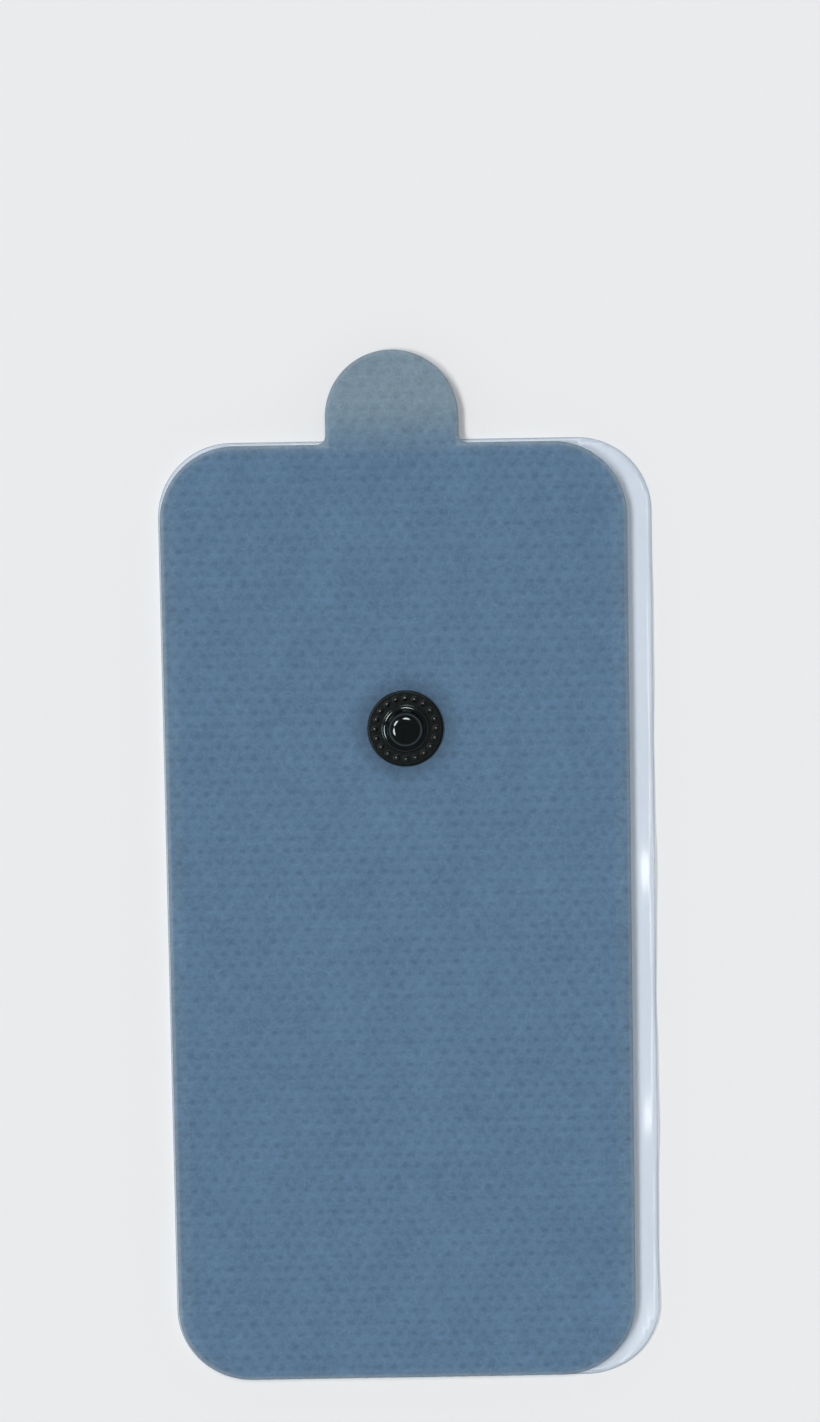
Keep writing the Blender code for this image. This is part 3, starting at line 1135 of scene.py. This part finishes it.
@dataclass
class ReleaseLiner(PadPiece):
    """The clear film under the gel, its free margin lifting in slow waves."""

    plan: PadPlan
    cell: Pair = (0.6 * MM, 0.6 * MM)
    corner: float = 8.0 * MM
    side_lift: float = 0.56 * MM
    end_lift: float = 0.12 * MM
    free_fade: Pair = (0.2 * MM, 3.3 * MM)
    side_fade: Pair = (-3.0 * MM, 1.0 * MM)
    wave: float = 26.0 * MM
    crest: float = 4.0 * MM
    calm_share: float = 0.6
    calm_fade: Pair = (14.0 * MM, 32.0 * MM)
    edge_rings: tuple[Pair, ...] = ((0.01 * MM, 0.3), (0.01 * MM, 0.7))

    def lift(self, x: Array, y: Array) -> Array:
        """How far the film lies above the table: nothing under the gel, waves beyond it.

        Along the side it is a cosine with a weak, shorter sine on it, eased up from the gel
        and flatter toward the tab's end.

        Args:
            x: Positions across.
            y: Positions along.

        Returns:
            One height for each position.
        """
        free = ease(*self.free_fade, self.plan.body.distance(x, y))
        side = ease(*self.side_fade, x - self.plan.body.right)
        phase = math.tau * (y - self.crest) / self.wave
        ripple = 0.54 + 0.36 * np.cos(phase) + 0.10 * np.sin(2.7 * phase + 1.0)
        ripple *= between(1.0, self.calm_share, ease(*self.calm_fade, y))
        return free * ripple * between(self.end_lift, self.side_lift, side)

    def top(self, x: Array, y: Array) -> Array:
        """The upper face."""
        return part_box("release_liner")[1].z + self.lift(x, y)

    def bottom(self, x: Array, y: Array) -> Array:
        """The lower face."""
        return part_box("release_liner")[0].z + self.lift(x, y)

    def build(self) -> Object:
        """Makes the liner.

        Returns:
            The piece.
        """
        outline = RoundedRectangle.over("release_liner", self.corner)
        faces = (self.top, self.bottom)
        sheet = TrimmedSheet(outline.distance, outline, self.cell, *faces, self.edge_rings)
        finish = ClearFinish(
            "clear_liner_film",
            outline,
            tint=display(227, 236, 246),
            skin=display(202, 215, 232),
            roughness=0.13,
            cloudiness=0.035,
            edge_cloudiness=0.45,
            mirror=0.5,
            ripple=0.03 * MM,
        )
        mesh = sheet.build("liner_film")
        return self.show(mesh, finish.material(), "clear_liner_film", "release_liner")


def arc(centre: Pair, axes: Pair, start: float, end: float, count: int) -> Array:
    """Points along an ellipse, in degrees: the centre plus (first axis cos t, second axis sin t)."""
    t = np.radians(np.linspace(start, end, count))
    return np.stack([centre[0] + axes[0] * np.cos(t), centre[1] + axes[1] * np.sin(t)], 1)


def stretch(start: Pair, end: Pair, count: int) -> Array:
    """Points along a straight stretch of a section, its ends included."""
    return np.linspace(start, end, count)


@dataclass
class Snap(PadPiece):
    """The snap: the turned stud on top, the eyelet below it, and the disc that covers it."""

    plan: PadPlan
    head_radius: float = 1.95 * MM
    head_flat_radius: float = 0.95 * MM
    dome_height: float = 0.80 * MM
    underside_height: float = 0.40 * MM
    waist_radius: float = 1.65 * MM
    waist_height: float = 0.35 * MM
    collar_radius: float = 2.50 * MM
    collar_crown: Pair = (0.32 * MM, 0.22 * MM)
    flange_thickness: float = 0.35 * MM
    wall: float = 0.35 * MM
    boss_count: int = 20
    boss_radius: float = 0.32 * MM
    boss_height: float = 0.15 * MM
    boss_fullness: float = 1.2
    corner_gap: float = 0.02 * MM
    sharp_angle: float = 50.0
    steps: int = 640

    def section(self) -> tuple[Array, Array]:
        """The stud's half section, from the top of the head down its outer side and up the bore.

        Round stretches are arcs of ellipses: centre plus (a cos t, b sin t). A small gap
        before and after each corner keeps it crisp.

        Returns:
            The radii and the heights.
        """
        low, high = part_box("snap_stud")
        flange_radius = (high.x - low.x) / 2
        widest = high.z - self.dome_height
        collar_top = widest - self.underside_height - self.waist_height
        flange_top = low.z + self.flange_thickness
        half_flange = self.flange_thickness / 2
        bore = self.waist_radius - self.wall

        crown = self.head_radius - self.head_flat_radius
        hook = self.head_radius - self.waist_radius
        collar_flat = self.collar_radius - self.collar_crown[0]
        collar_edge = collar_top - self.collar_crown[1]
        rim_centre = flange_radius - half_flange
        gap = self.corner_gap
        waist, collar, ceiling = self.waist_radius, self.collar_radius, high.z - self.wall
        parts = [
            stretch((0.0, high.z), (self.head_flat_radius - gap, high.z), 4),
            arc((self.head_flat_radius, widest), (crown, self.dome_height), 90, 0, 14),
            arc((waist, widest), (hook, self.underside_height), -10, -90, 8),
            stretch((waist, widest - self.underside_height - gap), (waist, collar_top + gap), 3),
            stretch((waist + gap, collar_top), (collar_flat - gap, collar_top), 4),
            arc((collar_flat, collar_edge), self.collar_crown, 90, 0, 10),
            stretch((collar, collar_edge - gap), (collar, flange_top + gap), 2),
            stretch((collar + gap, flange_top), (rim_centre - gap, flange_top), 36),
            arc((rim_centre, low.z + half_flange), (half_flange,) * 2, 90, -90, 13),
            stretch((rim_centre - gap, low.z), (bore + gap, low.z), 3),
            stretch((bore, low.z + gap), (bore, ceiling - gap), 3),
            stretch((bore - gap, ceiling), (0.0, ceiling), 2),
        ]
        section = np.concatenate(parts)
        return section[:, 0], section[:, 1]

    def bosses(self) -> BossRing:
        """Places the ring of bosses midway between the collar and the flange's rim.

        Returns:
            The ring.
        """
        low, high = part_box("snap_stud")
        ring_radius = (self.collar_radius + (high.x - low.x) / 2) / 2
        return BossRing(ring_radius, self.boss_radius, self.boss_count)

    def boss_lift(self, radius: Array, height: Array) -> Array:
        """How far the bosses raise the flange.

        A dome's height falls from its middle to its foot as a quarter cosine to the
        power of the dome's fullness.

        Args:
            radius: The section's radii.
            height: The section's heights.

        Returns:
            One row for each section point, one column for each angle.
        """
        flange_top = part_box("snap_stud")[0].z + self.flange_thickness
        angle = np.linspace(0.0, math.tau, self.steps, endpoint=False)
        away = self.bosses().away(radius[:, None], angle[None, :])
        fall = np.cos(np.clip(away, 0.0, 1.0) * math.pi / 2)
        dome = self.boss_height * fall**self.boss_fullness
        on_flange = np.abs(height - flange_top) < HAIR
        return dome * on_flange[:, None]

    def build(self) -> Object:
        """Makes the stud, and dresses the eyelet and its cover.

        Returns:
            The stud.
        """
        radius, height = self.section()
        lift = self.boss_lift(radius, height)
        mesh = turned("polished_stud", radius, height, self.plan.snap, lift)
        mesh.set_sharp_from_angle(angle=math.radians(self.sharp_angle))
        plate = PlatedFinish(
            "black_nickel_stud",
            self.plan.snap,
            display(60, 66, 65),
            display(70, 75, 74),
            roughness=0.09,
            satin_from=self.collar_radius,
            bosses=self.bosses(),
        )
        stud = self.show(mesh, plate.material(), "black_nickel_stud", "snap_stud")
        grey, worn = display(76, 82, 82), display(92, 97, 97)
        eyelet = PlatedFinish("black_nickel_eyelet", self.plan.snap, grey, worn, roughness=0.22)
        self.dress("snap_eyelet", eyelet.material())
        white, shaded = display(222, 225, 224), display(208, 212, 212)
        cover = FilmFinish("white_cover_film", white, shaded, roughness=0.45, grain=0.12 * MM)
        self.dress("eyelet_cover", cover.material())
        return stud


@dataclass
class CarbonFilm(PadPiece):
    """The black conductive film between the fabric and the gel."""

    def build(self) -> None:
        """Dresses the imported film."""
        black, grey = display(30, 32, 35), display(44, 47, 50)
        finish = FilmFinish("carbon_black_film", black, grey, roughness=0.48, grain=0.2 * MM)
        self.dress("carbon_film", finish.material())


@dataclass(frozen=True)
class Lamp:
    """A far, broad lamp, given by the direction that it shines from."""

    name: str
    azimuth: float
    off_vertical: float
    radiance: float = 14.3
    width: float = 16.0

    def build(self) -> Object:
        """Hangs the lamp: light from a round patch of sky, the same all over the floor.

        Returns:
            The lamp.
        """
        light = bpy.data.lights.new(self.name, "SUN")
        light.angle = math.radians(self.width)
        light.energy = self.radiance * math.pi * math.sin(light.angle / 2) ** 2
        lamp = bpy.data.objects.new(self.name, light)
        lamp.rotation_euler = (0.0, math.radians(self.off_vertical), math.radians(self.azimuth))
        bpy.context.scene.collection.objects.link(lamp)
        return lamp


@dataclass
class Studio:
    """The pale floor, the lamps, the pale surroundings and the camera."""

    floor_size: float = 60.0
    floor_drop: float = 0.02 * MM
    floor_colour: Colour = display(238, 239, 240)
    floor_shade: Colour = display(226, 228, 230)
    floor_mottle: float = 0.4
    horizon: float = 0.826
    zenith: float = 0.15
    sky_fade: Pair = (0.10, 0.55)
    sky_tint: Colour = (0.97, 0.985, 1.0)
    lens: float = 70.46
    sensor: float = 36.0
    camera_place: Triple = (1.54 * MM, 46.60 * MM, 300.0 * MM)
    camera_turn: Triple = (-4.644, -0.057, -0.985)

    def floor(self) -> None:
        """Lays the floor just under the pad."""
        half = self.floor_size / 2
        corners = [(-half, -half), (half, -half), (half, half), (-half, half)]
        mesh = bpy.data.meshes.new("floor")
        mesh.from_pydata([(*corner, -self.floor_drop) for corner in corners], [], [(0, 1, 2, 3)])
        nodes = material_nodes("floor_card")
        x, y, _ = nodes.place()
        tone = nodes.noise((x, y, 0.0), (self.floor_mottle, self.floor_mottle, 1.0))
        colour = nodes.mix(tone * 0.04, self.floor_colour, self.floor_shade)
        mesh.materials.append(nodes.finish(nodes.principled(Base_Color=colour, Roughness=0.9)))
        floor = bpy.data.objects.new("floor", mesh)
        bpy.context.scene.collection.objects.link(floor)

    def surroundings(self) -> None:
        """Closes the studio with pale walls that fade to a dim ceiling overhead."""
        world = bpy.data.worlds.new("studio")
        bpy.context.scene.world = world
        nodes = Nodes(world)
        direction = nodes.add("ShaderNodeTexCoord", output="Generated")
        upward = nodes.add("ShaderNodeSeparateXYZ", None, {0: direction}, "Z")
        level = between(self.horizon, self.zenith, upward.ease(*self.sky_fade))
        sky = {"Color": nodes.shaded(self.sky_tint, level), "Strength": 1.0}
        nodes.finish(nodes.add("ShaderNodeBackground", None, sky))

    def lamps(self) -> None:
        """Hangs three lamps up and to the left, where the stud's highlights call for them."""
        Lamp("lamp_top", azimuth=84.0, off_vertical=24.0).build()
        Lamp("lamp_upper_left", azimuth=151.0, off_vertical=30.0).build()
        Lamp("lamp_left", azimuth=198.0, off_vertical=28.0).build()

    def camera(self) -> None:
        """Sets the camera where the pad is seen as the photograph shows it."""
        data = bpy.data.cameras.new("camera")
        data.sensor_width = self.sensor
        data.lens = self.lens
        data.clip_start = 0.01
        camera = bpy.data.objects.new("camera", data)
        camera.location = self.camera_place
        camera.rotation_euler = tuple(math.radians(angle) for angle in self.camera_turn)
        bpy.context.scene.collection.objects.link(camera)
        bpy.context.scene.camera = camera

    def build(self) -> None:
        """Makes the whole studio."""
        self.floor()
        self.surroundings()
        self.lamps()
        self.camera()
        bpy.context.scene.view_settings.view_transform = "Standard"
        LOG.info("studio: ready")


def main() -> None:
    """Builds the pad from the liner up, then the studio around it."""
    logging.basicConfig(level=logging.INFO, format="%(name)s: %(message)s")
    plan = PadPlan.from_frame()
    lattice = BondLattice()
    ReleaseLiner(plan).build()
    GelLayer(plan).build()
    CarbonFilm().build()
    FabricBacking(plan, lattice).build()
    Snap(plan).build()
    Studio().build()


if __name__ == "__main__":
    main()
